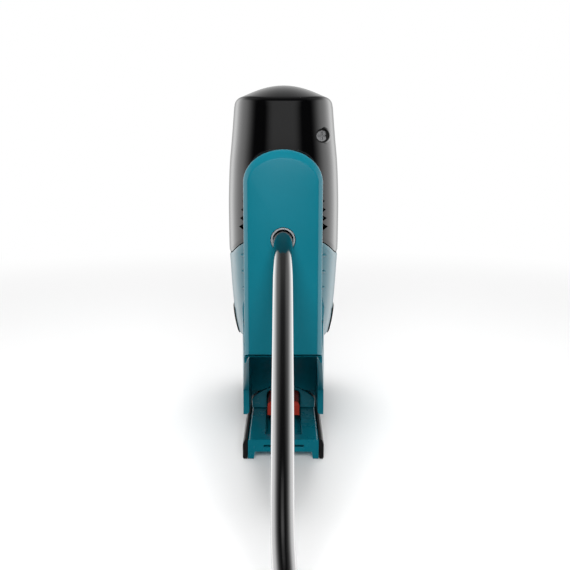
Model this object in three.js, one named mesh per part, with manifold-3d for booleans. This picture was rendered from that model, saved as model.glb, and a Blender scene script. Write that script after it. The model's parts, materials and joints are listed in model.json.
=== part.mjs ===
// A corded D-handle jigsaw standing on its shoe. Millimetres, +X to the right as seen from behind,
// +Y forward to the blade end, +Z up. The sole is at z = 0 and the tool's length is centred on y = 0.
import * as THREE from "three";
import { mergeVertices } from "three/addons/utils/BufferGeometryUtils.js";
import Module from "manifold-3d";

const wasm = await Module();
wasm.setup();

// Driving dimensions.
const REAR = -118;
const FRONT = 118;
const GAP = 0.3;
const WALL = 2.6;
const SPINE = { half: 20, bevel: 2.3, low: 75, shoulder: 164, top: 180.3, depth: 28, innerTop: 176 };
const BODY = { low: 52, edge: 211, top: 222.8, middle: 48, roundTop: 2.5, roundLow: 4, square: 3 };
// Height, half width and half length of level sections through the motor housing and the head.
const BODY_LEVELS = [
  [52, 31.3, 46], [58, 32.8, 49], [64, 34.2, 52], [74, 35, 55], [81, 35.6, 57], [90, 36.3, 58], [103, 37, 59],
  [112, 37.7, 59.6], [127, 37.8, 60], [144, 37.9, 60], [160, 37.4, 60], [172, 36.8, 59.5], [187, 35.2, 59],
  [199, 34.2, 58], [209, 33.4, 57], [223, 32.2, 56],
];
// The line between head and motor housing, seen from the side as (y, z).
const PARTING = [
  [-30, 131], [-12, 124.5], [-4, 120.3], [4, 115.5], [12, 112.2], [22, 110.6], [60, 108], [130, 97],
];
const ARM = { half: 21.2, top: 107.6 };
const SKIRT = { outer: 25.3, rearInner: 17.5, inner: 21.4, bottom: 16.6, corner: -40, cornerTop: 32.4 };
const BEVEL_CLEARANCE = 28;
const SHOE = { rear: -71.6, half: 20.9, under: 4.35, top: 12, foot: 3.5, padOuter: 23.9, channel: 10.9 };
const SADDLE = { radius: 27.4, rear: -14.6, front: 52, half: 20.6 };
const MOTOR_Z = 92;
const MODULE = 0.9;
const PINION_TEETH = 9;
const GEAR_TEETH = 42;
const GEAR_Z = MOTOR_Z + (MODULE * (PINION_TEETH + GEAR_TEETH)) / 2 + 0.35;
const PLUNGER_Y = 90;
const CRANK = 10;
const HEAD_BORE = { x: 24.8, z: 188.5, radius: 4.5 };
const FORK_PIVOT = { y: 68, z: 47.6 };
const ROLLER = { y: 74.5, z: 26 };
const SELECTOR_Z = 42;
const DIAL = { x: 28.4, y: 85, z: 150, radius: 8, half: 3.6 };
const CORD = { radius: 4.8, exitZ: 135.5 };
// The coil is an oval: two half circles whose centres are straight in front of and behind its middle.
const COIL = { y: -358.8, straight: 12, inner: 22, outer: 65.8, height: 19.5, first: 60.7 };
const PLUG = { x: -52, rear: -290, front: -252, half: 12, z: 11.5 };
// The middle line of the cord from the strain relief to the coil, and from the coil to the plug.
const RUN = [
  [0, -118, 135.5], [0, -127.6, 132], [0, -137.2, 127.4], [0, -147, 121], [0, -157.5, 111.8], [0, -168, 101.2],
  [0, -179, 89.6], [0, -190, 77.6], [0, -201, 65.2], [0, -212, 52.4], [0, -222, 40.2], [0.4, -232, 28.2],
  [1.8, -243, 17], [5, -256, 9.4], [11.5, -268.5, 6], [21.6, -280.2, 4.8], [32.5, -290.5, 4.8],
  [44.4, -302.4, 4.8], [53.6, -315.9, 4.8], [59.1, -331, 4.8], [60.7, -346.8, 4.8],
];
const TAIL = [
  [-55.8, -346.8, 14.6], [-55.9, -334, 14.6], [-55.4, -322, 14.6], [-54, -310, 13.8], [-52.6, -299, 12.2],
  [-52, -290, 11.5],
];
const COLOURS = {
  teal: [0x0a8496, 0.34, 0],
  black: [0x0b0b0d, 0.16, 0],
  soft: [0x17181a, 0.7, 0],
  red: [0xa83224, 0.4, 0],
  steel: [0x9a9da1, 0.3, 1],
  alloy: [0xb9bcbf, 0.42, 0.9],
  brass: [0xb08a3c, 0.35, 1],
  copper: [0xa9642f, 0.45, 0.7],
  dark: [0x2b2d30, 0.5, 0],
  grey: [0x8d9092, 0.5, 0],
};

const tool = new THREE.Group();

// A three.js geometry as a solid that can be joined and cut.
function solid(geometry) {
  const bare = new THREE.BufferGeometry();
  bare.setAttribute("position", geometry.getAttribute("position"));
  if (geometry.index) bare.setIndex(geometry.index);
  const merged = mergeVertices(bare, 1e-4);
  const made = new wasm.Manifold(
    new wasm.Mesh({
      numProp: 3,
      vertProperties: new Float32Array(merged.attributes.position.array),
      triVerts: new Uint32Array(merged.index.array),
    }),
  );
  return made;
}

// A solid as a named mesh of the tool.
function add(name, shape, colour, position = [0, 0, 0]) {
  const mesh = shape.getMesh();
  const geometry = new THREE.BufferGeometry();
  geometry.setAttribute("position", new THREE.BufferAttribute(mesh.vertProperties, 3));
  geometry.setIndex(new THREE.BufferAttribute(mesh.triVerts, 1));
  geometry.computeVertexNormals();
  const [hex, roughness, metalness] = COLOURS[colour];
  const material = new THREE.MeshStandardMaterial({ color: hex, roughness, metalness });
  const made = new THREE.Mesh(geometry, material);
  made.name = name;
  made.position.set(...position);
  tool.add(made);
}

function box(x0, x1, y0, y1, z0, z1) {
  const geometry = new THREE.BoxGeometry(x1 - x0, y1 - y0, z1 - z0);
  return solid(geometry.translate((x0 + x1) / 2, (y0 + y1) / 2, (z0 + z1) / 2));
}

// A cylinder along x, y or z, from one end to the other, with its axis through centre (the other two axes).
function rod(axis, radius, from, to, centre, sides = 18) {
  const geometry = new THREE.CylinderGeometry(radius, radius, to - from, sides);
  const middle = (from + to) / 2;
  if (axis === "x") geometry.rotateZ(Math.PI / 2).translate(middle, centre[0], centre[1]);
  if (axis === "y") geometry.translate(centre[0], middle, centre[1]);
  if (axis === "z") geometry.rotateX(Math.PI / 2).translate(centre[0], centre[1], middle);
  return solid(geometry);
}

function ring(axis, outer, inner, from, to, centre, sides = 18) {
  return rod(axis, outer, from, to, centre, sides).subtract(rod(axis, inner, from - 1, to + 1, centre, sides));
}

// An outline as a prism. Along x its points are (y, z), along y they are (x, z) and along z they are (x, y).
function prism(axis, outline, from, to, curveSegments = 8) {
  const shape = Array.isArray(outline) ? new THREE.Shape(outline.map(([a, b]) => new THREE.Vector2(a, b))) : outline;
  const geometry = new THREE.ExtrudeGeometry(shape, { depth: to - from, bevelEnabled: false, curveSegments });
  geometry.translate(0, 0, from);
  const turn = new THREE.Matrix4();
  if (axis === "x") turn.set(0, 0, 1, 0, 1, 0, 0, 0, 0, 1, 0, 0, 0, 0, 0, 1);
  if (axis === "y") turn.set(1, 0, 0, 0, 0, 0, -1, from + to, 0, 1, 0, 0, 0, 0, 0, 1);
  return solid(geometry.applyMatrix4(turn));
}

function roundedOutline(x0, x1, y0, y1, radius) {
  const shape = new THREE.Shape();
  shape.absarc(x1 - radius, y0 + radius, radius, -Math.PI / 2, 0);
  shape.absarc(x1 - radius, y1 - radius, radius, 0, Math.PI / 2);
  shape.absarc(x0 + radius, y1 - radius, radius, Math.PI / 2, Math.PI);
  shape.absarc(x0 + radius, y0 + radius, radius, Math.PI, Math.PI * 1.5);
  return shape;
}

const mirrored = (shape) => shape.mirror([1, 0, 0]);

// The value at z of a column of the level table, on straight lines between the levels.
function level(z, column) {
  const last = BODY_LEVELS.length - 1;
  if (z <= BODY_LEVELS[0][0]) return BODY_LEVELS[0][column];
  if (z >= BODY_LEVELS[last][0]) return BODY_LEVELS[last][column];
  const i = BODY_LEVELS.findIndex((row) => row[0] > z) - 1;
  const t = (z - BODY_LEVELS[i][0]) / (BODY_LEVELS[i + 1][0] - BODY_LEVELS[i][0]);
  const [a, b] = [BODY_LEVELS[i][column], BODY_LEVELS[i + 1][column]];
  return a + (b - a) * t;
}

// The outer skin of the motor housing and the head together, moved inwards by inset. A level section is a
// superellipse. Rows of the grid go down from the apex: a crowned cap, a quarter round, the wall, and a quarter
// round to the flat underside.
const CAP_ROWS = 4;
const ROUND_STEPS = 4;
function bodySkin(inset, columns, rows) {
  const geometry = new THREE.SphereGeometry(1, columns, rows);
  const { position, uv } = geometry.attributes;
  const [low, edge] = [BODY.low + inset, BODY.edge - inset];
  const wallFirst = CAP_ROWS + ROUND_STEPS;
  const wallLast = rows - ROUND_STEPS - 1;
  for (let i = 0; i < position.count; i += 1) {
    const turn = uv.getX(i) * 2 * Math.PI + Math.PI;
    const row = Math.round((1 - uv.getY(i)) * rows);
    let [z, pull, share, lift] = [0, 0, 1, 0];
    if (row <= CAP_ROWS) {
      share = row / CAP_ROWS;
      z = edge;
      pull = BODY.roundTop;
      lift = 1;
    } else if (row < wallFirst) {
      const angle = ((row - CAP_ROWS) / ROUND_STEPS) * (Math.PI / 2);
      z = edge - BODY.roundTop * (1 - Math.cos(angle));
      pull = BODY.roundTop * (1 - Math.sin(angle));
      lift = 1;
    } else if (row <= wallLast) {
      const wallHeight = edge - low - BODY.roundTop - BODY.roundLow;
      z = edge - BODY.roundTop - (wallHeight * (row - wallFirst)) / (wallLast - wallFirst);
      lift = row === wallFirst ? 1 : 0;
    } else if (row < rows) {
      const angle = ((row - wallLast) / ROUND_STEPS) * (Math.PI / 2);
      z = low + BODY.roundLow * (1 - Math.sin(angle));
      pull = BODY.roundLow * (1 - Math.cos(angle));
    } else {
      z = low;
      share = 0;
    }
    const [halfX, halfY] = [level(z, 1) - inset - pull, level(z, 2) - inset - pull];
    const power = 2 / BODY.square;
    const [c, s] = [Math.cos(turn), Math.sin(turn)];
    const x = Math.abs(c) < 1e-9 ? 0 : Math.sign(c) * Math.abs(c) ** power * halfX * share;
    const y = Math.abs(s) < 1e-9 ? 0 : Math.sign(s) * Math.abs(s) ** power * halfY * share;
    const crown = (1 - (x / halfX) ** 2) * (1 - (y / halfY) ** 2) * (BODY.top - BODY.edge) * lift;
    position.setXYZ(i, x, BODY.middle + y, z + Math.max(0, crown));
  }
  return solid(geometry);
}

const above = (shift) =>
  prism("x", [...PARTING.map(([y, z]) => [y, z + shift]), [130, 240], [-30, 240]].reverse(), -60, 60);
const below = (shift) =>
  prism("x", [...PARTING.map(([y, z]) => [y, z + shift]), [130, 40], [-30, 40]].reverse(), -60, 60);
const bevelSpace = rod("y", BEVEL_CLEARANCE, SHOE.rear - 4, FRONT + 2, [0, 0], 64);
const bodyOuter = bodySkin(0, 44, 28);
const bodyInner = bodySkin(WALL, 24, 22);
const bodyAround = bodySkin(-0.5, 44, 28);

// Head cover: the glossy upper shell, with a screw bore in the right rear corner and four vents a side.
function headCover() {
  let shape = bodyOuter.intersect(above(0.2)).subtract(bodyInner);
  const at = [HEAD_BORE.x, HEAD_BORE.z];
  const boss = rod("y", HEAD_BORE.radius + 2, -6, 14, at, 20).intersect(bodyOuter);
  shape = shape.add(boss).subtract(rod("y", HEAD_BORE.radius, -20, 10, at, 24)).subtract(rod("y", 1.8, 8, 16, at));
  for (const side of [-1, 1]) {
    for (let i = 0; i < 4; i += 1) {
      const [x, z] = [25.3 - 0.75 * i, 130.6 + 5.55 * i];
      const slot = [[side * (x - 3.6), z], [side * x, z - 2.4], [side * (x + 3.6), z], [side * x, z + 2.4]];
      shape = shape.subtract(prism("y", side > 0 ? slot : slot.reverse(), -20, 6));
    }
  }
  const reach = DIAL.radius + 0.5;
  return shape.subtract(
    box(DIAL.x - 4, 40, DIAL.y - reach, DIAL.y + reach, DIAL.z - DIAL.half - 0.5, DIAL.z + DIAL.half + 0.5),
  );
}
add("head_cover", headCover(), "black");

// Motor housing halves, split on the centre plane, with a recess in front for the blade clamp's travel.
const motorShell = bodyOuter
  .intersect(below(-0.2))
  .subtract(bodyInner)
  .subtract(box(-16, 16, 60, 106, 50, 64))
  .subtract(rod("z", 6.4, 44, 80, [0, PLUNGER_Y]));
add("motor_housing_right", motorShell.intersect(box(0.15, 50, -60, 140, 0, 240)), "teal");
add("motor_housing_left", motorShell.intersect(box(-50, -0.15, -60, 140, 0, 240)), "teal");

// Rear column: an arched channel with a bevelled rim, closed behind and open to the front.
function spineOutline(half, shoulder, top, low) {
  const shape = new THREE.Shape();
  shape.moveTo(-half, low);
  shape.lineTo(half, low);
  shape.lineTo(half, shoulder);
  shape.absellipse(0, shoulder, half, top - shoulder, 0, Math.PI);
  return shape;
}
function rearColumn() {
  const { half, bevel, low, shoulder, top, depth, innerTop } = SPINE;
  const outline = spineOutline(half, shoulder, top, low);
  const geometry = new THREE.ExtrudeGeometry(spineOutline(half - bevel, shoulder, innerTop, low + 1.2), {
    depth: 0.01, bevelEnabled: true, bevelThickness: 2.2, bevelSize: bevel, bevelSegments: 1, curveSegments: 24,
  });
  const turn = new THREE.Matrix4().set(1, 0, 0, 0, 0, 0, -1, REAR + 2.2, 0, 1, 0, 0, 0, 0, 0, 1);
  const face = solid(geometry.applyMatrix4(turn)).intersect(prism("y", outline, REAR - 1, REAR + 2.2, 24));
  let shape = prism("y", outline, REAR + 2.15, REAR + depth, 24).add(face);
  shape = shape.subtract(prism("y", spineOutline(half - 2.8, shoulder - 1, top - 3.4, low + 3), REAR + 4, 0, 16));
  return shape.subtract(rod("y", 6.1, REAR - 2, REAR + 10, [0, CORD.exitZ], 32));
}
add("rear_column", rearColumn(), "teal");

// Grip halves: the roof of the D, hollow, open below for the trigger.
const gripBlock = prism("y", roundedOutline(-17, 17, 149, 179, 11), REAR + SPINE.depth + GAP, 0, 6)
  .subtract(bodyAround)
  .subtract(prism("y", roundedOutline(-13.6, 13.6, 152.4, 175.6, 8), REAR + SPINE.depth - 2, 4, 6))
  .subtract(box(-6.3, 6.3, -62, -18, 140, 160));
const lockBore = rod("x", 4.4, -20, -10, [-48, 167]);
add("grip_right", gripBlock.intersect(box(0.15, 40, -120, 40, 100, 200)), "teal");
add("grip_left", gripBlock.intersect(box(-40, -0.15, -120, 40, 100, 200)).subtract(lockBore), "teal");
const gripPad = prism("y", roundedOutline(-18.6, 18.6, 147.6, 179.9, 12), REAR + SPINE.depth + 4, -18, 6)
  .subtract(prism("y", roundedOutline(-17.3, 17.3, 148.7, 179.3, 11.2), -120, 0, 6))
  .subtract(box(-30, 30, -120, 0, 140, 158))
  .subtract(rod("x", 8, -30, -10, [-48, 167]));
add("grip_pad", gripPad, "soft");

// Lower housing halves: the lower arm of the D with its louvres, and the side skirts down to the shoe.
function lowerHousing() {
  const rear = REAR + SPINE.depth + GAP;
  const core = prism("x", [
    [rear, ARM.top], [rear, SPINE.low - GAP], [REAR + 0.4, SPINE.low - GAP], [-90, 71.5], [-60, 65], [-36, 53],
    [-22, 41], [-15.5, 31], [-14.2, 24], [61, 24], [61, 100], [0, ARM.top],
  ].reverse(), 0.15, ARM.half);
  const skirt = prism("x", [
    [REAR + 0.2, SPINE.low - GAP], [SKIRT.corner, SKIRT.cornerTop], [SKIRT.corner, SKIRT.bottom],
    [68, SKIRT.bottom], [76, 40], [72, 70], [0, 86], [-70, 84], [REAR + SPINE.depth + GAP, SPINE.low - GAP],
  ], SKIRT.rearInner - 0.5, SKIRT.outer);
  const hollow = prism("x", [
    [rear + WALL, ARM.top - WALL], [rear + WALL, 76], [-60, 68.5], [-33, 56], [-14, 41], [-8, 34], [56, 34],
    [56, 98], [0, ARM.top - WALL],
  ].reverse(), -1, ARM.half - WALL);
  // Seen from above, the skirt's walls splay out from the rear column's width to the corner.
  const skirtPlan = prism("z", [
    [SKIRT.rearInner, REAR], [SPINE.half, REAR], [25, SKIRT.corner], [SKIRT.outer, 0], [SKIRT.outer, 80],
    [ARM.half - 0.5, 80], [ARM.half - 0.5, 0], [SKIRT.inner, SKIRT.corner],
  ], 0, 200);
  const corePlan = prism("z", [[-1, REAR], [SPINE.half, REAR], [ARM.half, -100], [ARM.half, 80], [-1, 80]], 0, 200);
  const corner = prism("y", [[SPINE.half + 2, 62], [SPINE.half + 2, 76], [17, 76], [17.3, 74.7], [SPINE.half, 68]],
    REAR - 1, REAR + 12);
  let shape = core.intersect(corePlan).add(skirt.intersect(skirtPlan).subtract(corner));
  shape = shape.subtract(hollow).subtract(bodyAround).subtract(bevelSpace);
  for (let i = 0; i < 6; i += 1) {
    const z = 82 + 3.6 * i;
    shape = shape.subtract(box(ARM.half - 3.2, 30, -78, -26, z, z + 1.5));
  }
  shape = shape.subtract(rod("x", 1.3, 0, 24, [FORK_PIVOT.y, FORK_PIVOT.z], 12));
  return shape.subtract(box(-1, SADDLE.half + 0.6, -10.6, 55.6, 10, 34.4));
}
const lowerRight = lowerHousing();
add("lower_housing_right", lowerRight, "teal");
add("lower_housing_left", mirrored(lowerRight), "teal");

// Bevel seat: the casting that the shoe's saddle turns in.
const seat = box(-SADDLE.half - 0.3, SADDLE.half + 0.3, -10.2, 55.2, 17, 34).subtract(bevelSpace);
add("bevel_seat", seat.subtract(rod("z", 2.4, 10, 40, [0, 24], 16)), "alloy");

// Shoe: an inverted channel with two feet, a rear channel for the bevel lock and a blade slot open in front.
function shoePlate() {
  const { rear, half, under, top, foot, channel } = SHOE;
  const section = [
    [-half, 0], [-half + foot, 0], [-half + foot + 0.8, under], [half - foot - 0.8, under], [half - foot, 0],
    [half, 0], [half, top - 1], [half - 1, top], [-half + 1, top], [-half, top - 1],
  ];
  const outline = [[-half - 1, rear], [half + 1, rear], [half + 1, 103], [12, FRONT], [-12, FRONT], [-half - 1, 103]];
  let shape = prism("y", section, rear - 1, FRONT + 1).intersect(prism("z", outline, -1, top + 1));
  shape = shape.subtract(box(-channel, channel, rear + 9, 10, under + 1.6, top + 1));
  shape = shape.subtract(box(-8.6, 8.6, 66, FRONT + 2, -1, top + 1));
  for (const side of [-1, 1]) {
    shape = shape.subtract(box(side * 9 - 2.6, side * 9 + 3, rear - 1, rear + 4, 7.2, 8.6));
  }
  return shape.subtract(rod("z", 2.4, 0, 20, [0, 24], 16));
}
add("shoe_plate", shoePlate(), "teal");
for (const [side, name] of [[-1, "left"], [1, "right"]]) {
  const inner = SHOE.half + GAP;
  const outline = [[inner, 0], [SHOE.padOuter - 0.4, 0], [SHOE.padOuter, 1], [SHOE.padOuter, 9], [22.8, 12], [inner, 12]];
  const pad = prism("y", outline, SHOE.rear, 100);
  add(`shoe_pad_${name}`, side > 0 ? pad : mirrored(pad), "soft");
}

// Saddle on the shoe: the top is a part of a cylinder about the bevel axis. The lock slides in its rear slot.
const saddle = rod("y", SADDLE.radius, SADDLE.rear, SADDLE.front, [0, 0], 64)
  .intersect(box(-SADDLE.half, SADDLE.half, SADDLE.rear - 1, SADDLE.front + 1, SHOE.top + GAP, 40))
  .subtract(prism("y", roundedOutline(-SHOE.channel, SHOE.channel, 8, 24, 3), SADDLE.rear - 1, 12, 5))
  .subtract(rod("z", 2.4, 10, 40, [0, 24], 16));
add("bevel_saddle", saddle, "teal");
const lock = prism("x", [
  [-36, 14.6], [-36, 20.4], [-34.4, 23.2], [-8, 23.2], [-8, 21], [2, 21], [2, 14.6],
].reverse(), -10, 10).intersect(prism("y", roundedOutline(-10, 10, 10, 23.2, 2.6), -40, 6, 4));
add("bevel_lock", lock, "red");

// Motor.
add("field_stack", ring("y", 22.6, 15.8, 14, 48, [0, MOTOR_Z], 32), "dark");
const shaft = rod("y", 4, -3, 59, [0, MOTOR_Z], 20)
  .add(rod("y", 3, 58, 66.6, [0, MOTOR_Z], 20))
  .add(rod("y", 1.9, 66, 74.5, [0, MOTOR_Z], 16));
let core = rod("y", 15, 16, 46, [0, MOTOR_Z], 36);
for (let i = 0; i < 12; i += 1) {
  const angle = (i * Math.PI) / 6;
  const slot = box(13, 17, 15, 47, -0.8, 0.8).rotate([0, (angle * 180) / Math.PI, 0]);
  core = core.subtract(slot.translate([0, 0, MOTOR_Z]));
}
add("armature", shaft.add(core), "copper");
add("commutator", ring("y", 9, 4.3, 3.6, 12, [0, MOTOR_Z], 24), "brass");
let fan = ring("y", 20.5, 4.3, 50, 51.5, [0, MOTOR_Z], 32).add(ring("y", 7, 4.3, 50, 57, [0, MOTOR_Z], 24));
for (let i = 0; i < 10; i += 1) {
  fan = fan.add(box(6.5, 20, 51, 57, -0.7, 0.7).rotate([0, 36 * i, 0]).translate([0, 0, MOTOR_Z]));
}
add("cooling_fan", fan, "dark");
add("rear_bearing", ring("y", 8, 4.3, -3, 3.3, [0, MOTOR_Z]), "steel");
add("front_bearing", ring("y", 8.5, 3.3, 60.2, 66, [0, MOTOR_Z]), "steel");

// A spur gear about y: trapezoidal teeth thinner than their gaps. turned puts a tooth or a gap towards +Z.
function spurGear(teeth, bore, from, to, turned) {
  const pitch = (MODULE * teeth) / 2;
  const points = [];
  for (let i = 0; i < teeth; i += 1) {
    for (const [shift, radius] of [[-0.3, -1.15], [-0.14, 0.75], [0.14, 0.75], [0.3, -1.15]]) {
      const angle = ((i + shift + turned) * 2 * Math.PI) / teeth + Math.PI / 2;
      const reach = pitch + radius * MODULE;
      points.push([Math.cos(angle) * reach, Math.sin(angle) * reach]);
    }
  }
  return prism("y", points, from, to).subtract(rod("y", bore, from - 1, to + 1, [0, 0], 20));
}
add("drive_pinion", spurGear(PINION_TEETH, 2.2, 67.3, 73.6, 0).translate([0, 0, MOTOR_Z]), "steel");
add("drive_gear", spurGear(GEAR_TEETH, 4.3, 67.8, 73.2, 0.5).translate([0, 0, GEAR_Z]), "steel");
add("gear_axle", rod("y", 4, 59.6, 73.4, [0, GEAR_Z], 20), "steel");
add("crank_pin", rod("y", 2.5, 73.5, 77.4, [CRANK, GEAR_Z], 16), "steel");

// Gear case: a plate across the body with two arms that hold the plunger's bushes.
const gearCase = box(-20, 20, 59.8, 66.2, 78, 177)
  .add(box(-13, 13, 62, 99.5, 158, 170))
  .add(box(-12.4, 12.4, 62, 98, 72, 80))
  .subtract(rod("y", 8.8, 50, 70, [0, MOTOR_Z]))
  .subtract(rod("y", 4.3, 50, 70, [0, GEAR_Z], 20))
  .subtract(rod("z", 8.1, 60, 180, [0, PLUNGER_Y]))
  .subtract(box(-9, 9, 66, 76, 66, 100));
add("gear_case", gearCase, "alloy");
const bushHeights = { upper: [158, 170], lower: [72, 80] };
for (const [name, [from, to]] of Object.entries(bushHeights)) {
  add(`${name}_bush`, ring("z", 7.8, 5.4, from, to, [0, PLUNGER_Y]), "brass");
}
add("plunger_seal", ring("z", 6.1, 5.4, 64.2, 67.4, [0, PLUNGER_Y]), "soft");
const plunger = rod("z", 5, 48, 182, [0, PLUNGER_Y], 20)
  .add(box(-16, 16, 78, 83, GEAR_Z - 7, GEAR_Z + 7))
  .add(box(-4, 4, 80, 88, GEAR_Z - 7, GEAR_Z + 7))
  .subtract(box(-13.2, 13.2, 77, 82.4, GEAR_Z - 2.9, GEAR_Z + 2.9));
add("plunger", plunger, "steel");
add("blade_clamp", ring("z", 7, 5.3, 38.4, 53, [0, PLUNGER_Y]).add(rod("z", 6.9, 38.2, 47, [0, PLUNGER_Y]))
  .subtract(box(-0.9, 0.9, 84, 93, 30, 47)), "steel");
const clampRing = ring("z", 9.3, 7.3, 41, 50, [0, 0], 28).add(
  prism("z", [[8.4, -2.5], [13, -1.8], [13, 1.8], [8.4, 2.5]], 42, 49));
add("clamp_ring", clampRing, "dark", [0, PLUNGER_Y, 0]);

// Pendulum fork and roller, behind the blade's line.
const fork = prism("x", [
  [-5, 2.5], [-5, -3], [1.5, -19], [3.6, -24.6], [9.5, -24.6], [9.5, -19], [3.5, -3], [3.5, 2.5],
].reverse(), -4, 4).subtract(box(-2.9, 2.9, 1, 20, -40, -16.9)).subtract(rod("x", 1.3, -6, 6, [0, 0], 12));
const rollerHole = rod("x", 1.3, -6, 6, [ROLLER.y - FORK_PIVOT.y, ROLLER.z - FORK_PIVOT.z], 12);
add("pendulum_fork", fork.subtract(rollerHole), "steel", [0, FORK_PIVOT.y, FORK_PIVOT.z]);
add("guide_roller", ring("x", 4, 1.4, -2.5, 2.5, [0, 0], 20), "steel", [0, ROLLER.y, ROLLER.z]);
add("roller_pin", rod("x", 1, -4, 4, [ROLLER.y, ROLLER.z], 12), "steel");
add("fork_pin", rod("x", 1, -22.5, 22.5, [FORK_PIVOT.y, FORK_PIVOT.z], 12), "steel");

// Controls.
const trigger = prism("x", [
  [0, 0], [-2, -1], [-6, -14], [-14, -17.5], [-24, -17], [-33, -12], [-36, -4], [-36, 0],
].reverse(), -5.8, 5.8);
add("trigger", trigger, "black", [0, -21, 158.5]);
add("switch_body", box(-7.5, 7.5, -60, -26, 165.4, 174.5), "dark");
add("lock_button", rod("x", 4, -20.4, -10.6, [0, 0], 20), "black", [0, -48, 167]);
const selector = rod("x", 7, -27.2, -25.7, [0, 0], 24).add(box(-28.1, -27, -1.8, 1.8, -11, 2));
add("orbit_selector", selector, "black", [0, 44, SELECTOR_Z]);
const dialNotches = Array.from({ length: 10 }, (_, i) => {
  const angle = (i * Math.PI) / 5;
  return rod("z", 0.8, -5, 5, [DIAL.radius * Math.cos(angle), DIAL.radius * Math.sin(angle)], 8);
});
let dial = ring("z", DIAL.radius, 1.6, -DIAL.half, DIAL.half, [0, 0], 30);
for (const notch of dialNotches) dial = dial.subtract(notch);
add("speed_dial", dial, "grey", [DIAL.x, DIAL.y, DIAL.z]);
for (const [side, name] of [[-1, "left"], [1, "right"]]) {
  const at = (from, to) => (side > 0 ? [from, to] : [-to, -from]);
  const tube = box(...at(10.5, 19), 4, 11.4, 87.6, 96.4).subtract(box(...at(9, 20), 5.6, 9.8, 89.2, 94.8));
  add(`brush_holder_${name}`, tube, "brass");
  add(`carbon_brush_${name}`, box(...at(9.4, 17), 5.9, 9.5, 89.5, 94.5), "dark");
}
add("speed_module", box(-14, 14, -108, -96, 84, 112), "dark");

// Screws: one in the head's bore and two that hold the cord clamp.
const headScrew = rod("y", 3.6, 6.4, 9.6, [0, 0], 16)
  .subtract(box(-0.4, 0.4, 6, 7.4, -2.4, 2.4))
  .subtract(box(-2.4, 2.4, 6, 7.4, -0.4, 0.4))
  .translate([HEAD_BORE.x, 0, HEAD_BORE.z]);
add("head_screw", headScrew, "steel");
add("cord_clamp", box(-13, 13, -110.6, -104, 142, 146), "dark");
for (const [side, name] of [[-1, "left"], [1, "right"]]) {
  add(`clamp_screw_${name}`, rod("z", 3, 146.3, 149, [side * 9.5, -107.3], 16), "steel");
}
// Strain relief: a collar in the column's hole with a flange outside, and a tapered nose along the cord's way out.
const noseTilt = (20 * Math.PI) / 180;
const nose = solid(
  new THREE.CylinderGeometry(5.9, 5.05, 12, 28)
    .translate(0, -6, 0)
    .rotateX(noseTilt)
    .translate(0, REAR, CORD.exitZ),
);
const relief = rod("y", 5.8, REAR - 1, REAR + 14, [0, CORD.exitZ], 32)
  .add(rod("y", 6.4, REAR - 1.5, REAR - 0.3, [0, CORD.exitZ], 32))
  .add(nose);
add("strain_relief", relief, "grey");

// A round tube along points, between two shares of the way.
function tube(points, radius, steps, from = 0, to = 1, sides = 5) {
  const whole = new THREE.CatmullRomCurve3(points.map((p) => new THREE.Vector3(...p)), false, "centripetal");
  const part = [];
  for (let i = 0; i <= steps; i += 1) part.push(whole.getPointAt(from + ((to - from) * i) / steps));
  const path = new THREE.CatmullRomCurve3(part, false, "centripetal");
  const section = new THREE.Shape();
  section.absarc(0, 0, radius, 0, 2 * Math.PI);
  return solid(
    new THREE.ExtrudeGeometry(section, { steps, extrudePath: path, curveSegments: sides, bevelEnabled: false }),
  );
}
const RUN_FROM = 0.042;
add("cord_run", tube(RUN, CORD.radius, 28, RUN_FROM, 1), "black");
add("cord_tail", tube(TAIL, CORD.radius, 6, 0, 0.985), "black");
function oval(radius) {
  const shape = new THREE.Shape();
  shape.absarc(0, COIL.straight, radius, 0, Math.PI);
  shape.absarc(0, -COIL.straight, radius, Math.PI, 2 * Math.PI);
  return shape;
}
const coilFront = COIL.y + COIL.straight;
const coil = prism("z", oval(COIL.outer), 0, COIL.height, 20)
  .subtract(prism("z", oval(COIL.inner), -1, COIL.height + 1, 14))
  .translate([0, COIL.y, 0])
  .subtract(tube(RUN, CORD.radius + GAP, 14, 0.6, 1))
  .subtract(box(COIL.first - 6, COIL.first + 6, coilFront - 1, coilFront + 40, -1, 10))
  .subtract(tube(TAIL, CORD.radius + GAP, 6, 0, 0.985))
  .subtract(box(TAIL[0][0] - 5.2, TAIL[0][0] + 5.2, coilFront - 0.5, coilFront + 50, 9, 30));
const wholeCoil = coil.decompose().sort((a, b) => b.volume() - a.volume())[0];
add("cord_coil", wholeCoil, "black");
const coilRear = COIL.y - COIL.straight;
const tie = box(-6, 6, coilRear - COIL.outer - 1.6, coilRear - COIL.inner + 2.6, 0, COIL.height + 1.6)
  .subtract(box(-7, 7, coilRear - COIL.outer - 0.4, coilRear - COIL.inner + 1.3, -1, COIL.height + GAP));
add("coil_tie", tie, "dark");
const plugOutline = roundedOutline(PLUG.x - PLUG.half, PLUG.x + PLUG.half, 0.4, 22.6, 7);
const plugBody = prism("y", plugOutline, PLUG.rear + 12, PLUG.front, 5)
  .add(rod("y", 8.5, PLUG.rear + GAP, PLUG.rear + 13, [PLUG.x, PLUG.z], 24));
add("plug_body", plugBody, "black");
for (const [side, name] of [[-1, "left"], [1, "right"]]) {
  add(`plug_pin_${name}`, rod("y", 2.3, PLUG.front + GAP, PLUG.front + 19, [PLUG.x + side * 7, PLUG.z], 16), "brass");
}

export default tool;
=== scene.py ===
"""A corded D-handle jigsaw, dressed round its packed CAD frame.

Metres, +X to the right as seen from behind, +Y forward, +Z up. Tables and outlines are in millimetres.
"""

import json
import math

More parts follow.
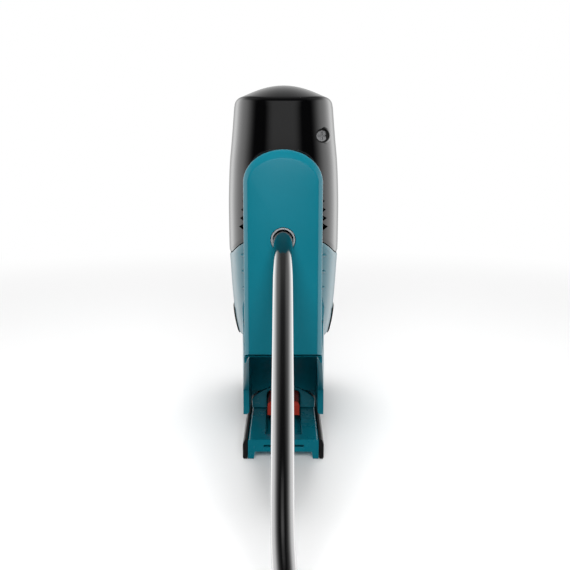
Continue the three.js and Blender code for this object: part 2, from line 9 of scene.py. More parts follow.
import bmesh
import bpy
import numpy as np
from bpy.props import FloatProperty, FloatVectorProperty, IntProperty, PointerProperty
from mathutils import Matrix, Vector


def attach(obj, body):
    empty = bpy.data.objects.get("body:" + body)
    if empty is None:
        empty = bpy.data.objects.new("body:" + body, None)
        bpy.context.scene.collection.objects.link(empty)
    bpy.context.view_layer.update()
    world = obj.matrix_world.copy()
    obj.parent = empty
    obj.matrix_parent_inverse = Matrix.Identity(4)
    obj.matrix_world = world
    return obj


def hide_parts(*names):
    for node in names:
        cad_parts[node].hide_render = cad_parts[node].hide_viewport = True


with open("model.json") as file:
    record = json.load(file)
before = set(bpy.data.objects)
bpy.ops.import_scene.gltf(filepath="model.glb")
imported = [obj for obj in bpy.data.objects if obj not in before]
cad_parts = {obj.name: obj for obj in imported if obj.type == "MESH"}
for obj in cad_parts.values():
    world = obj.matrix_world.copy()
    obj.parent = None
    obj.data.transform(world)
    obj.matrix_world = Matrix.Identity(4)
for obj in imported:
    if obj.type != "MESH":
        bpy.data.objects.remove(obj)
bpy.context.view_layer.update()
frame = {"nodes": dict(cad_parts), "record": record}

bl_info = {
    "name": "Jigsaw dresser",
    "version": (1, 0, 0),
    "blender": (4, 5, 0),
    "location": "View3D > Sidebar > Jigsaw",
    "description": "Makes the housings, cord and finishes of a jigsaw round its frame",
    "category": "Object",
}

MM = 0.001

SIDES = {-1: "left", 1: "right"}

# The outer form of the motor housing and the head: height, half width and half length of its level sections.
LEVELS = np.array([
    (52, 31.3, 46), (58, 32.8, 49), (64, 34.2, 52), (74, 35, 55), (81, 35.6, 57), (90, 36.3, 58),
    (103, 37, 59), (112, 37.7, 59.6), (127, 37.8, 60), (144, 37.9, 60), (160, 37.4, 60), (172, 36.8, 59.5),
    (187, 35.2, 59), (199, 34.2, 58), (209, 33.4, 57), (223, 32.2, 56),
], float)
HALF_WIDTH, HALF_LENGTH = 1, 2
BODY_LOW, BODY_EDGE, BODY_TOP, BODY_MIDDLE = 52.0, 211.0, 222.8, 48.0
ROUND_TOP, ROUND_LOW, SQUARENESS = 2.5, 4.0, 3.0
# Rows of points on the crowned cap, on a rounded edge and on the walls of the head and of the motor housing.
CAP_ROWS, ROUND_STEPS, HEAD_ROWS, MOTOR_ROWS, FLOOR_ROWS = 22, 8, 60, 40, 5

# The parting line between head and motor housing, from the side: distance forward and height.
PARTING = np.array([
    (-30, 131), (-12, 124.5), (-4, 120.3), (4, 115.5), (12, 112.2), (22, 110.6), (60, 108), (130, 97),
], float)
# Half the gap at the parting line, how far the lips are drawn in there, and the height at which each
# half's section gives the line its distances forward.
PARTING_GAP, LIP, HEAD_SEAM, MOTOR_SEAM = 0.35, 0.5, 118.0, 112.0

# The head's screw bore (x and z, radius), its vents (first, step and half sizes in x and z) and the speed
# dial's slot (low and high corner in y and z).
HEAD_BORE, BORE_RADIUS = (24.8, 188.5), 4.5
BORE_PROFILE = [(4.45, -3.0), (4.45, 8), (1.8, 8), (1.8, 12), (5.6, 12), (5.6, -1.0)]
VENTS, VENT_FIRST, VENT_STEP, VENT_HALF = 4, (25.3, 130.6), (-0.75, 5.55), (3.6, 2.4)
VENT_REACH = (-20, 6)
DIAL_SLOT, DIAL_REACH = ((76.5, 145.9), (93.5, 154.1)), (24.4, 44)

# The opening in the motor housing's floor (low and high corner in y and z, half width) and the plunger's hole.
HEEL_OPENING, OPENING_HALF, OPENING_OVERLAP = ((60, 44), (106, 64)), 16, 1
PLUNGER_HOLE, PLUNGER_Y, PLUNGER_REACH = 6.4, 90, (44, 80)

REAR = -118.0
SPINE_HALF, SPINE_LOW, SPINE_SHOULDER, SPINE_TOP, SPINE_DEPTH = 20.0, 75.0, 164.0, 180.3, 28.0
# The column's outline loops from the inner rim round its front edge to the rear face: how far each is drawn in
# at the sides, at the foot and at the top, and its distance from the rear face.
SPINE_LOOPS = [
    (2.8, 3.0, 3.4, 4.4), (2.8, 3.0, 3.4, SPINE_DEPTH), (0.3, 0.3, 0.3, SPINE_DEPTH),
    (0, 0, 0, SPINE_DEPTH - 0.4), (0, 0, 0, 2.7), (0.12, 0.05, 0.15, 2.3), (0.5, 0.3, 0.7, 1.85),
    (2.1, 1.0, 3.7, 0.32), (2.4, 1.15, 4.1, 0.1), (2.8, 1.4, 4.6, 0),
]
CORD_EXIT = (0.0, -118.0, 135.5)
CORD_HOLE, RELIEF_INNER, RELIEF_OUTER = 6.45, 5.25, 6.1
# The cord's middle line from its exit to the coil, and from the coil to the plug.
RUN = [
    (0, -118, 135.5), (0, -127.6, 132), (0, -137.2, 127.4), (0, -147, 121), (0, -157.5, 111.8),
    (0, -168, 101.2), (0, -179, 89.6), (0, -190, 77.6), (0, -201, 65.2), (0, -212, 52.4), (0, -222, 40.2),
    (0.4, -232, 28.2), (1.8, -243, 17), (5, -256, 9.4), (11.5, -268.5, 6), (21.6, -280.2, 4.8),
    (32.5, -290.5, 4.8), (44.4, -302.4, 4.8), (53.6, -315.9, 4.8), (59.1, -331, 4.8), (60.7, -346.8, 4.8),
]
TAIL = [
    (-55.8, -346.8, 14.6), (-55.9, -334, 14.6), (-55.4, -322, 14.6), (-54, -310, 13.8), (-52.6, -299, 12.2),
    (-52, -290, 11.5),
]
COIL_Y, COIL_STRAIGHT, COIL_FIRST, COIL_PITCH = -358.8, 12.0, 60.7, 9.8
COIL_IN_TURNS, COIL_OUT_TURNS, HALF_TURN_POINTS = 3.5, 3.0, 40
LAYER_LOW, LAYER_HIGH = 4.8, 14.6
CURVE_STEP, CORD_STEP, CORD_SIDES = 3.0, 3.6, 20

# The ribs on the housing's rear corners, and the dark strips along its heel that paint the shade on the heel's
# underside edge. Directions in radians from the side.
RIBS, RIB_FIRST, RIB_STEP, RIB_PROUD, RIB_POINTS, RIB_SIDES = 6, 58.0, 10.8, 0.1, 14, 12
RIB_FROM, RIB_TO = -np.pi / 2 + 0.3, -np.pi / 2 + 0.66
SHADE_STRIP_ROWS, SHADE_STRIP_COLUMNS, SHADE_STRIP_PROUD, SHADE_STRIP_WALL = 14, 40, 0.8, 0.0011
SHADE_STRIP_LOW, SHADE_STRIP_HIGH, SHADE_STRIP_FROM, SHADE_STRIP_TO = 53.5, 71.5, -0.34, 1.1

EDGE_SEGMENTS, EDGE_ANGLE, FLAT_ANGLE = 3, 34.0, 0.6


class JigsawSizes(bpy.types.PropertyGroup):
    """Sizes that can be changed without moving a CAD part."""

    cord_width: FloatProperty(name="Cord width", description="Diameter of the cord's sheath",
                              default=0.0096, unit="LENGTH")
    wall: FloatProperty(name="Wall", description="Thickness of the moulded shells",
                        default=0.0026, unit="LENGTH")
    columns: IntProperty(name="Columns", description="Steps round the housings' surface", default=144, min=48)
    rib_radius: FloatProperty(name="Rib radius", description="Radius of the ribs beside the rear column",
                              default=0.0011, unit="LENGTH")


class JigsawColours(bpy.types.PropertyGroup):
    """Colours of the mouldings."""

    teal: FloatVectorProperty(name="Teal", description="Housing mouldings", subtype="COLOR", size=3,
                              default=(0.002, 0.165, 0.225), min=0, max=1)
    black: FloatVectorProperty(name="Black", description="Head cover", subtype="COLOR", size=3,
                               default=(0.0014, 0.0014, 0.0016), min=0, max=1)
    soft: FloatVectorProperty(name="Soft black", description="Grip pad and shoe pads", subtype="COLOR",
                              size=3, default=(0.006, 0.006, 0.0065), min=0, max=1)
    red: FloatVectorProperty(name="Red", description="Bevel lock", subtype="COLOR", size=3,
                             default=(0.42, 0.035, 0.02), min=0, max=1)
    sheath: FloatVectorProperty(name="Sheath", description="Cord and plug", subtype="COLOR", size=3,
                                default=(0.002, 0.002, 0.0022), min=0, max=1)


class Wire:
    """An output of a shader node. Python's operators on it add Math nodes."""

    def __init__(self, nodes, socket):
        self.nodes, self.socket = nodes, socket

    def math(self, operation, other):
        return self.nodes.node("ShaderNodeMath", {"operation": operation}, {0: self, 1: other})

    def __add__(self, other):
        return self.math("ADD", other)

    def __mul__(self, other):
        return self.math("MULTIPLY", other)

    __radd__, __rmul__ = __add__, __mul__


class Nodes:
    """A node tree that nodes are added to one by one."""

    def __init__(self, tree):
        self.tree = tree

    def node(self, kind, settings, inputs, output=0):
        """A node whose settings are set first and its sockets next. Gives one of its outputs."""
        made = self.tree.nodes.new(kind)
        for key, value in settings.items():
            setattr(made, key, value)
        for key, value in inputs.items():
            if isinstance(value, Wire):
                self.tree.links.new(value.socket, made.inputs[key])
            else:
                made.inputs[key].default_value = value
        return Wire(self, made.outputs[output])


class Finish(Nodes):
    """A material that is built round a Principled shader."""

    def __init__(self, name, **fixed):
        self.material = bpy.data.materials.new(name)
        self.material.use_nodes = True
        super().__init__(self.material.node_tree)
        self.shader = self.tree.nodes["Principled BSDF"]
        for socket, value in fixed.items():
            self.shader.inputs[socket.replace("_", " ")].default_value = value
        self.place = self.node("ShaderNodeTexCoord", {}, {}, "Object")

    def noise(self, scale, detail=3.0, roughness=0.55, place=None):
        """Noise with features of 1 / scale metres, from 0 to 1."""
        return self.node("ShaderNodeTexNoise", {}, {
            "Vector": place or self.place, "Scale": scale, "Detail": detail, "Roughness": roughness})

    def stretched(self, factors):
        """Object coordinates scaled unevenly, for grain that runs one way."""
        return self.node("ShaderNodeMapping", {}, {"Vector": self.place, "Scale": factors})

    def mixed(self, factor, first, second):
        """A colour between first and second."""
        return self.node("ShaderNodeMix", {"data_type": "RGBA"}, {
            0: factor, 6: (*first, 1.0), 7: (*second, 1.0)}, 2)

    def drive(self, socket, wire):
        self.tree.links.new(wire.socket, self.shader.inputs[socket])

    def bump(self, height, strength, depth):
        made = self.node("ShaderNodeBump", {}, {"Height": height, "Strength": strength, "Distance": depth})
        self.drive("Normal", made)


def moulded(name, colour, rough, grain, depth, strength, **fixed):
    """A moulded plastic: a fine eroded grain, slow drifts of tone and gloss, and light rubbed patches.

    The grain has that many features a metre and a depth in millimetres.
    """
    finish = Finish(name, **fixed)
    slow, handled = finish.noise(14.0, 2.0), finish.noise(46.0, 4.0, 0.65)
    pale = [min(1.0, c * 1.2 + 0.0004) for c in colour]
    deep = [c * 0.86 for c in colour]
    finish.drive("Base Color", finish.mixed(slow * 0.6 + handled * 0.4, deep, pale))
    finish.drive("Roughness", handled * (rough * 0.36) + rough * 0.82)
    finish.bump(finish.noise(grain, 5.0, 0.6) + handled * 0.25, strength, depth * MM)
    return finish.material


def metal(name, colour, rough, run):
    """A worked metal: fine lines that run one way, a darker film in patches, and a slightly uneven polish."""
    finish = Finish(name, Metallic=1.0)
    lines = finish.noise(600.0, 4.0, 0.7, finish.stretched(run))
    film = finish.noise(60.0, 4.0, 0.6)
    dark = [c * 0.72 for c in colour]
    finish.drive("Base Color", finish.mixed(film, dark, colour))
    finish.drive("Roughness", lines * (rough * 0.7) + rough * 0.6)
    finish.bump(lines, 0.25, 0.02 * MM)
    return finish.material


def make_finishes(colours):
    """Every finish by name."""
    teal = tuple(colours.teal)
    paint = tuple(c * 0.95 for c in teal)
    wet = {"Coat_Weight": 1.0, "Coat_Roughness": 0.06, "Coat_IOR": 2.1, "Specular_IOR_Level": 0.9}
    lacquer = {"Coat_Weight": 0.3, "Coat_Roughness": 0.12}
    # Finish: material, colour, roughness, grain's features a metre, its depth and strength, fixed sockets.
    plastics = {
        "teal": ("housing_teal", teal, 0.3, 1500.0, 0.02, 0.3, {"Specular_IOR_Level": 0.55}),
        "gloss": ("head_black", tuple(colours.black), 0.1, 260.0, 0.006, 0.1, {"Specular_IOR_Level": 0.42}),
        "soft": ("soft_grip", tuple(colours.soft), 0.62, 1100.0, 0.12, 0.7, {}),
        "control": ("control_black", (0.011, 0.011, 0.012), 0.42, 1300.0, 0.05, 0.5, {}),
        "inside": ("dark_plastic", (0.012, 0.012, 0.013), 0.5, 800.0, 0.04, 0.4, {}),
        "red": ("lock_red", tuple(colours.red), 0.36, 1500.0, 0.03, 0.35, {}),
        "enamel": ("shoe_paint", paint, 0.27, 700.0, 0.03, 0.3, lacquer),
        "grey": ("relief_grey", (0.33, 0.345, 0.36), 0.45, 1100.0, 0.04, 0.4, {}),
        "dial": ("dial_grey", (0.2, 0.21, 0.22), 0.5, 1100.0, 0.04, 0.4, {}),
        "sheath": ("cord_rubber", tuple(colours.sheath), 0.14, 420.0, 0.012, 0.2, wet),
    }
    # Finish: material, colour, roughness and the scale of its lines along x, y and z.
    metals = {
        "steel": ("steel", (0.56, 0.565, 0.575), 0.27, (1.0, 1.0, 0.06)),
        "alloy": ("alloy", (0.62, 0.63, 0.64), 0.45, (1.0, 1.0, 1.0)),
        "brass": ("brass", (0.72, 0.5, 0.2), 0.28, (1.0, 0.1, 1.0)),
        "copper": ("winding", (0.52, 0.2, 0.08), 0.4, (1.0, 0.04, 1.0)),
    }
    made = {name: moulded(*values, **fixed) for name, (*values, fixed) in plastics.items()}
    return made | {name: metal(*values) for name, values in metals.items()}


FINISHES = {}


def in_scene(name, mesh, finish=None, smooth=35.0):
    """A new object of the scene with its mesh smoothed up to an angle in degrees."""
    made = bpy.data.objects.new(name, mesh)
    bpy.context.scene.collection.objects.link(made)
    mesh.polygons.foreach_set("use_smooth", np.ones(len(mesh.polygons), bool))
    if smooth:
        mesh.set_sharp_from_angle(angle=math.radians(smooth))
    if finish:
        mesh.materials.clear()
        mesh.materials.append(FINISHES[finish])
    return made


def mesh_from(name, points, faces):
    """A mesh of points in millimetres and of faces of any size."""
    mesh = bpy.data.meshes.new(name)
    mesh.from_pydata((np.asarray(points, float) * MM).tolist(), [], [list(f) for f in faces])
    mesh.update()
    return mesh


def grid_quads(rows, columns, wrap=True):
    """The quads of a grid whose points run row by row, closed round each row if wrap is set."""
    i, j = np.meshgrid(np.arange(rows - 1), np.arange(columns if wrap else columns - 1), indexing="ij")
    k = (j + 1) % columns
    quads = np.stack([i * columns + j, i * columns + k, (i + 1) * columns + k, (i + 1) * columns + j], -1)
    return quads.reshape(-1, 4)


def tidy_mesh(mesh, outward=True):
    """Merges doubled points and, if outward is set, makes the faces point out."""
    work = bmesh.new()
    work.from_mesh(mesh)
    bmesh.ops.remove_doubles(work, verts=work.verts, dist=1e-7)
    bmesh.ops.dissolve_degenerate(work, edges=work.edges, dist=1e-7)
    if outward:
        bmesh.ops.recalc_face_normals(work, faces=work.faces)
    work.to_mesh(mesh)
    work.free()
    return mesh


def finished(piece, body, slot, *nodes):
    """The piece rides on a body, takes a material slot and stands for CAD nodes."""
    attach(piece, body)
    if nodes:
        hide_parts(*nodes)
    return piece


def body_of_node(node):
    """The moving body that a CAD node belongs to."""
    return next(b for b, nodes in frame["record"]["behaviour"]["bodies"].items() if node in nodes)


def slot_of_node(node):
    """The material slot that the record gives a CAD node."""
    return next(s["material_slot"] for s in frame["record"]["subparts"] if s["node"] == node)


def edged(node, width, finish):
    """A CAD node's form with its flats made whole and its edges rounded to width millimetres."""
    mesh = frame["nodes"][node].data.copy()
    mesh.name = node + "_form"
    work = bmesh.new()
    work.from_mesh(mesh)
    bmesh.ops.remove_doubles(work, verts=work.verts, dist=2e-6)
    bmesh.ops.dissolve_limit(work, angle_limit=math.radians(FLAT_ANGLE), verts=work.verts, edges=work.edges)
    work.to_mesh(mesh)
    work.free()
    piece = in_scene(node + "_form", mesh, finish, 38.0)
    bevel = piece.modifiers.new("rounded edges", "BEVEL")
    bevel.width, bevel.segments = width * MM, EDGE_SEGMENTS
    bevel.limit_method, bevel.angle_limit = "ANGLE", math.radians(EDGE_ANGLE)
    bevel.harden_normals, bevel.use_clamp_overlap = True, True
    return finished(piece, body_of_node(node), slot_of_node(node), node)


def cut(piece, cutters):
    """Takes the closed cutter meshes out of a piece, for good."""
    target = bpy.data.objects.new("cutter", cutters)
    bpy.context.scene.collection.objects.link(target)
    boolean = piece.modifiers.new("cut", "BOOLEAN")
    boolean.operation, boolean.object, boolean.solver = "DIFFERENCE", target, "EXACT"
    bpy.context.view_layer.update()
    whole = bpy.data.meshes.new_from_object(piece.evaluated_get(bpy.context.evaluated_depsgraph_get()))
    piece.modifiers.clear()
    piece.data = whole
    bpy.data.objects.remove(target)
    whole.set_sharp_from_angle(angle=math.radians(35))


def prism(outline, axis, start, end):
    """Points and faces of an outline carried straight along axis 0, 1 or 2. The outline gives the other two."""
    outline = np.asarray(outline, float)
    n = len(outline)
    ends = [np.insert(outline, axis, at, axis=1) for at in (start, end)]
    sides = [(i, (i + 1) % n, n + (i + 1) % n, n + i) for i in range(n)]
    return np.vstack(ends), sides + [tuple(range(n))[::-1], tuple(range(n, 2 * n))]


def rectangle(low, high):
    """The corners of a rectangle between its low and its high corner."""
    return [low, (high[0], low[1]), high, (low[0], high[1])]


def circle(radius, centre, count):
    """Points round a circle about a centre."""
    turn = np.linspace(0, 2 * np.pi, count, endpoint=False)
    return np.stack([centre[0] + radius * np.cos(turn), centre[1] + radius * np.sin(turn)], 1)


def joined(parts):
    """Several lists of points and faces as one."""
    points, faces, count = [], [], 0
    for some, their in parts:
        points.append(some)
        faces += [tuple(v + count for v in face) for face in their]
        count += len(some)
    return np.vstack(points), faces


def level(z, column):
    """Half width or half length of the body at a height: the level table, averaged over 12 mm of height."""
    spread = np.linspace(-6, 6, 9)
    return np.mean([np.interp(z + s, LEVELS[:, 0], LEVELS[:, column]) for s in spread], axis=0)


def superellipse(turn, half_x, half_y, power=2 / SQUARENESS):
    """The point of a superellipse in one direction: a half size times a power of cos or of sin."""
    c, s = np.cos(turn), np.sin(turn)
    return np.sign(c) * np.abs(c) ** power * half_x, np.sign(s) * np.abs(s) ** power * half_y


def section(turn, z, pull=0.0):
    """x and y of the body's outline at a height, drawn in by pull."""
    return superellipse(turn, level(z, HALF_WIDTH) - pull, level(z, HALF_LENGTH) - pull)


def parting_height(y):
    """Height of the parting line at a distance forward, averaged over 6 mm so that its corners are eased."""
    spread = np.linspace(-3, 3, 7)
    return np.mean([np.interp(y + s, PARTING[:, 0], PARTING[:, 1]) for s in spread], axis=0)


def crown(x, y):
    """Rise of the crowned top: its height times (1 - u^2)(1 - v^2), u and v being x and y in half sizes."""
    u, v = x / level(BODY_EDGE, HALF_WIDTH), y / level(BODY_EDGE, HALF_LENGTH)
    return np.clip((1 - u * u) * (1 - v * v), 0, 1) * (BODY_TOP - BODY_EDGE)


def head_surface(columns):
    """The head's outer surface: crowned cap, quarter-round shoulder and a wall down to the parting line."""
    turn = np.linspace(0, 2 * np.pi, columns, endpoint=False)
    rim_x, rim_y = section(turn, BODY_EDGE, ROUND_TOP)
    rows = []
    for share in np.linspace(0, 1, CAP_ROWS):
        x, y = rim_x * share, rim_y * share
        rows.append(np.stack([x, y + BODY_MIDDLE, BODY_EDGE + crown(x, y)], 1))
    for angle in np.linspace(0, np.pi / 2, ROUND_STEPS + 1)[1:]:
        x, y = section(turn, BODY_EDGE, ROUND_TOP * (1 - math.sin(angle)))
        z = BODY_EDGE - ROUND_TOP * (1 - math.cos(angle)) + crown(x, y)
        rows.append(np.stack([x, y + BODY_MIDDLE, z], 1))
    upper = z
    lower = parting_height(section(turn, HEAD_SEAM)[1] + BODY_MIDDLE) + PARTING_GAP
    for share in np.linspace(0, 1, HEAD_ROWS)[1:]:
        z = upper + (lower - upper) * share
        x, y = section(turn, z, LIP * max(0.0, (share - 0.985) / 0.015))
        rows.append(np.stack([x, y + BODY_MIDDLE, z], 1))
    return np.vstack(rows), len(rows)


def solidify(piece, thickness):
    """Gives an open outer surface a wall on its inner side."""
    wall = piece.modifiers.new("wall", "SOLIDIFY")
    wall.thickness, wall.offset, wall.use_even_offset = thickness, -1.0, True


def head_cover(sizes):
    """The glossy upper cover, with its vents, its screw bore and the speed dial's slot."""
    points, rows = head_surface(sizes.columns)
    faces = grid_quads(rows, sizes.columns)[:, ::-1]
    mesh = tidy_mesh(mesh_from("head_cover_shell", points, faces))
    piece = in_scene("head_cover_shell", mesh, "gloss")
    solidify(piece, sizes.wall)
    cutters = [prism(circle(BORE_RADIUS, HEAD_BORE, 48), 1, *VENT_REACH)]
    half_x, half_z = VENT_HALF
    for side in SIDES:
        for i in range(VENTS):
            x, z = VENT_FIRST[0] + VENT_STEP[0] * i, VENT_FIRST[1] + VENT_STEP[1] * i
            slot = [(side * (x - half_x), z), (side * x, z - half_z),
                    (side * (x + half_x), z), (side * x, z + half_z)]
            cutters.append(prism(slot, 1, *VENT_REACH))
    cutters.append(prism(rectangle(*DIAL_SLOT), 0, *DIAL_REACH))
    cut(piece, tidy_mesh(mesh_from("head_cutters", *joined(cutters))))
    finished(piece, "housing", "head_black", "head_cover")
    middle = (HEAD_BORE[0], 0, HEAD_BORE[1])
    lathe_piece("screw_bore", BORE_PROFILE, middle, "gloss", "head_black", 48)


def lathe(profile, count):
    """A closed profile of (radius, distance) turned about the y axis."""
    profile = np.asarray(profile, float)
    turn = np.linspace(0, 2 * np.pi, count, endpoint=False)
    r, y = profile[:, 0][:, None], profile[:, 1][:, None]
    points = np.stack([r * np.cos(turn), y + 0 * turn, r * np.sin(turn)], -1)
    looped = np.concatenate([points, points[:1]])
    return looped.reshape(-1, 3), grid_quads(len(looped), count)


def lathe_piece(name, profile, centre, finish, slot, count):
    """A turned piece of the housing at a centre."""
    points, faces = lathe(profile, count)
    mesh = tidy_mesh(mesh_from(name, points + np.asarray(centre, float), faces))
    return finished(in_scene(name, mesh, finish), "housing", slot)


def motor_half(side, sizes):
    """Half of the motor housing: wall from the parting line down, a quarter-round heel and a flat floor."""
    columns = sizes.columns // 2 + 1
    turn = np.linspace(-np.pi / 2, np.pi / 2, columns)
    upper = parting_height(section(turn, MOTOR_SEAM)[1] + BODY_MIDDLE) - PARTING_GAP
    lower = BODY_LOW + ROUND_LOW
    rows = []
    for share in np.linspace(0, 1, MOTOR_ROWS):
        z = upper + (lower - upper) * share
        x, y = section(turn, z, LIP * max(0.0, (0.02 - share) / 0.02))
        rows.append(np.stack([x, y, z], 1))
    for angle in np.linspace(0, np.pi / 2, ROUND_STEPS + 1)[1:]:
        z = lower - ROUND_LOW * math.sin(angle)
        x, y = section(turn, z, ROUND_LOW * (1 - math.cos(angle)))
        rows.append(np.stack([x, y, np.full_like(x, z)], 1))
    for share in np.linspace(1, 0, FLOOR_ROWS + 1)[1:]:
        rows.append(np.stack([x * share, y * share, np.full_like(x, z)], 1))
    points = np.vstack(rows)
    points[:, 0] = np.maximum(points[:, 0], 0.15) * side
    points[:, 1] += BODY_MIDDLE
    name = "motor_shell_" + SIDES[side]
    faces = grid_quads(len(rows), columns, False)[:, ::-side]
    piece = in_scene(name, tidy_mesh(mesh_from(name, points, faces), False), "teal")
    solidify(piece, sizes.wall)
    across = sorted((-side * OPENING_OVERLAP, side * OPENING_HALF))
    opening = prism(rectangle(*HEEL_OPENING), 0, *across)
    hole = prism(circle(PLUNGER_HOLE, (0, PLUNGER_Y), 40), 2, *PLUNGER_REACH)
    cut(piece, tidy_mesh(mesh_from("motor_cutters", *joined([opening, hole]))))
    finished(piece, "housing", "housing_teal", "motor_housing_" + SIDES[side])


def arch(half, low, top, count=40):
    """The rear column's outline: straight sides and half an ellipse above the shoulder, from x and z."""
    turn = np.linspace(0, np.pi, count)
    over = np.stack([half * np.cos(turn), SPINE_SHOULDER + (top - SPINE_SHOULDER) * np.sin(turn)], 1)
    return np.vstack([[(-half, low), (half, low)], over])


def rear_column():
    """The arched column: outline loops carried from the inner rim over a bevelled edge to a flat rear face."""
    rings = []
    for inset, rise, drop, depth in SPINE_LOOPS:
        outline = arch(SPINE_HALF - inset, SPINE_LOW + rise, SPINE_TOP - drop)
        rings.append(np.insert(outline, 1, REAR + depth, axis=1))
    faces = tube_faces(len(rings), len(rings[0]), True)
    mesh = tidy_mesh(mesh_from("rear_column_shell", np.vstack(rings), faces))
    piece = in_scene("rear_column_shell", mesh, "teal", 25.0)
    hole = prism(circle(CORD_HOLE, (0, CORD_EXIT[2]), 64), 1, REAR - 3, REAR + 8)
    cut(piece, tidy_mesh(mesh_from("column_cutter", *hole)))
    finished(piece, "housing", "housing_teal", "rear_column")


def strain_relief():
    """A pale ring in the column's hole, which the cord comes out of."""
    inner, outer = RELIEF_INNER, RELIEF_OUTER
    ring = [(inner, REAR + 6), (outer, REAR + 6), (outer, REAR - 0.5), (outer - 0.2, REAR - 0.85),
            (inner + 0.3, REAR - 0.95), (inner, REAR - 0.6)]
    made = lathe_piece("relief_ring", ring, (0, 0, CORD_EXIT[2]), "grey", "relief_grey", 64)
    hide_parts("strain_relief")


def smooth_path(points, step):
    """A centripetal Catmull-Rom curve through points, with its own points about step apart."""
    p = np.asarray(points, float)
    p = np.vstack([2 * p[0] - p[1], p, 2 * p[-1] - p[-2]])
    out = []
    for a, b, c, d in zip(p[:-3], p[1:-2], p[2:-1], p[3:]):
        t = np.cumsum([0.0] + [math.sqrt(np.linalg.norm(v - u)) for u, v in ((a, b), (b, c), (c, d))])
        x = np.linspace(t[1], t[2], max(2, int(np.linalg.norm(c - b) / step) + 1))[:-1, None]
        ab = a + (b - a) * (x - t[0]) / (t[1] - t[0])
        bc = b + (c - b) * (x - t[1]) / (t[2] - t[1])
        cd = c + (d - c) * (x - t[2]) / (t[3] - t[2])
        low = ab + (bc - ab) * (x - t[0]) / (t[2] - t[0])
        high = bc + (cd - bc) * (x - t[1]) / (t[3] - t[1])
        out.append(low + (high - low) * (x - t[1]) / (t[2] - t[1]))
    return np.vstack([*out, p[-2:-1]])


def coil_path():
    """Oval turns that wind inwards on the floor, climb over 60 degrees and wind outwards on top of them.

    Each half turn is an arc about a centre that stands COIL_STRAIGHT in front of the middle or behind it, and
    the straight parts between arcs come from joining their ends.
    """
    half_turns = int(2 * (COIL_IN_TURNS + COIL_OUT_TURNS))
    # The 1e-4 keeps each half turn off the angle at which the arcs' centre changes over.
    turns = np.concatenate([
        np.linspace(k / 2 + 1e-4, (k + 1) / 2 - 1e-4, HALF_TURN_POINTS) for k in range(half_turns)])
    inwards = COIL_FIRST - COIL_PITCH * np.minimum(turns, COIL_IN_TURNS)
    radius = inwards + COIL_PITCH * np.maximum(turns - COIL_IN_TURNS, 0)
    climb = np.clip((turns - COIL_IN_TURNS) * 6, 0, 1)
    z = LAYER_LOW + (LAYER_HIGH - LAYER_LOW) * climb * climb * (3 - 2 * climb)
    angle = -2 * np.pi * turns
    centre = COIL_Y + COIL_STRAIGHT * np.sign(np.sin(angle))
    return np.stack([radius * np.cos(angle), centre + radius * np.sin(angle), z], 1)


def cord_path():
    """The whole middle line in metres, evenly spaced, and its length."""
    whole = np.vstack([smooth_path(RUN, CURVE_STEP)[:-1], coil_path(), smooth_path(TAIL, CURVE_STEP)])
    along = np.concatenate([[0], np.cumsum(np.linalg.norm(np.diff(whole, axis=0), axis=1))])
    at = np.linspace(0, along[-1], int(along[-1] / CORD_STEP))
    return np.stack([np.interp(at, along, whole[:, k]) for k in range(3)], 1) * MM, along[-1] * MM


def swept(path, radius, sides):
    """A round tube about a path: at each point a ring square to the way, carried on without twist."""
    way = np.gradient(path, axis=0)
    way /= np.linalg.norm(way, axis=1)[:, None]
    side = np.empty_like(way)
    across = np.array([1.0, 0.0, 0.0])
    for i, t in enumerate(way):
        across = across - t * across.dot(t)
        across /= np.linalg.norm(across)
        side[i] = across
    up = np.cross(way, side)
    turn = np.linspace(0, 2 * np.pi, sides, endpoint=False)[:, None]
    rings = path[:, None] + radius * (side[:, None] * np.cos(turn) + up[:, None] * np.sin(turn))
    return rings.reshape(-1, 3)


def tube_faces(rings, sides, flipped=False):
    """The quads between a tube's rings and the two faces that close its ends."""
    first, last = tuple(range(sides)), tuple(range(sides * (rings - 1), sides * rings))
    ends = [first, last[::-1]] if flipped else [first[::-1], last]
    return [tuple(f) for f in grid_quads(rings, sides)] + ends


def tube(name, path, radius, sides, finish):
    """An object of a closed round tube about a path in millimetres."""
    mesh = mesh_from(name, swept(path, radius, sides), tube_faces(len(path), sides))
    return in_scene(name, tidy_mesh(mesh), finish, 60.0)


def cord(sizes):
    """The mains cord: out of the column, down to the floor, round a tied coil and into the plug."""
    path, length = cord_path()
    piece = tube("mains_cord", path / MM, sizes.cord_width / 2 / MM, CORD_SIDES, "sheath")
    finished(piece, "housing", "cord_rubber", "cord_run", "cord_tail", "cord_coil")
    plug = edged("plug_body", 1.2, "sheath")
    pins = [edged("plug_pin_" + side, 0.7, "brass") for side in SIDES.values()]
    tie = edged("coil_tie", 0.4, "inside")


def corner_ribs(sizes):
    """Short ribs on the motor housing's rear corners, each a bar that follows the wall."""
    turn = np.linspace(RIB_FROM, RIB_TO, RIB_POINTS)
    for side, hand in SIDES.items():
        for i in range(RIBS):
            z = RIB_FIRST + RIB_STEP * i
            x, y = section(turn, z, -RIB_PROUD)
            path = np.stack([side * x, y + BODY_MIDDLE, np.full_like(x, z)], 1)
            piece = tube(f"corner_rib_{hand}_{i + 1}", path, sizes.rib_radius / MM, RIB_SIDES, "teal")
            finished(piece, "housing", "housing_teal")


